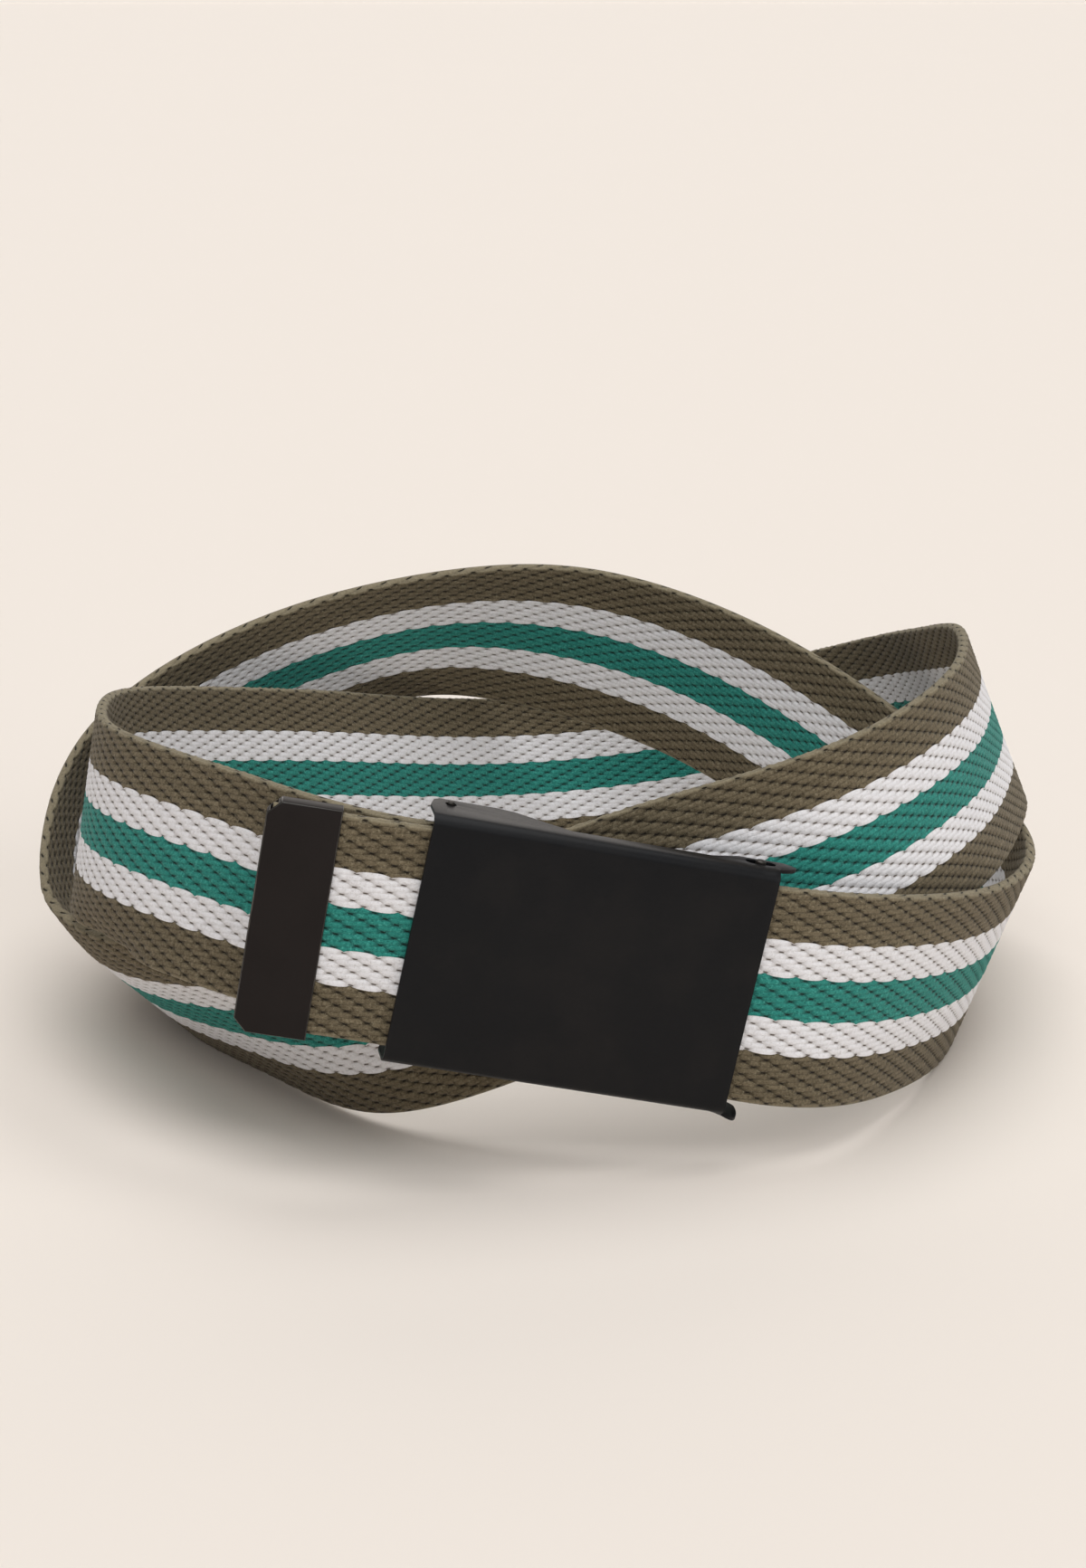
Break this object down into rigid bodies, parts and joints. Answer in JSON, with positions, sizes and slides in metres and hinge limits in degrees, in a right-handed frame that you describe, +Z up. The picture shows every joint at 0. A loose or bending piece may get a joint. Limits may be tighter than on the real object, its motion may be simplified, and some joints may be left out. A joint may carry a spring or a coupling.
{
  "type": "canvas web belt",
  "caption": "Striped woven canvas belt with a flat black slide buckle and a black metal tip, buckled and standing on its edge as a loose coil",
  "frame": {"origin": "on the floor, below the middle of the coil's bounding box", "axes": "+X along the buckle to the right as seen from the front, +Y from the buckle to the back of the coil, +Z up"},
  "size_m": [0.1952, 0.2222, 0.0746],
  "materials": {
    "webbing_olive": "coarse woven canvas",
    "webbing_white": "coarse woven canvas",
    "webbing_green": "coarse woven canvas",
    "black_metal": "matte black paint",
    "dark_steel": "darkened steel"
  },
  "bodies": {
    "root": {"strap": "webbing_olive", "buckle_case": "black_metal", "clamp_bar": "dark_steel", "clamp_pin": "dark_steel", "slide_bar": "dark_steel", "strap_tip": "black_metal"}
  },
  "joints": []
}
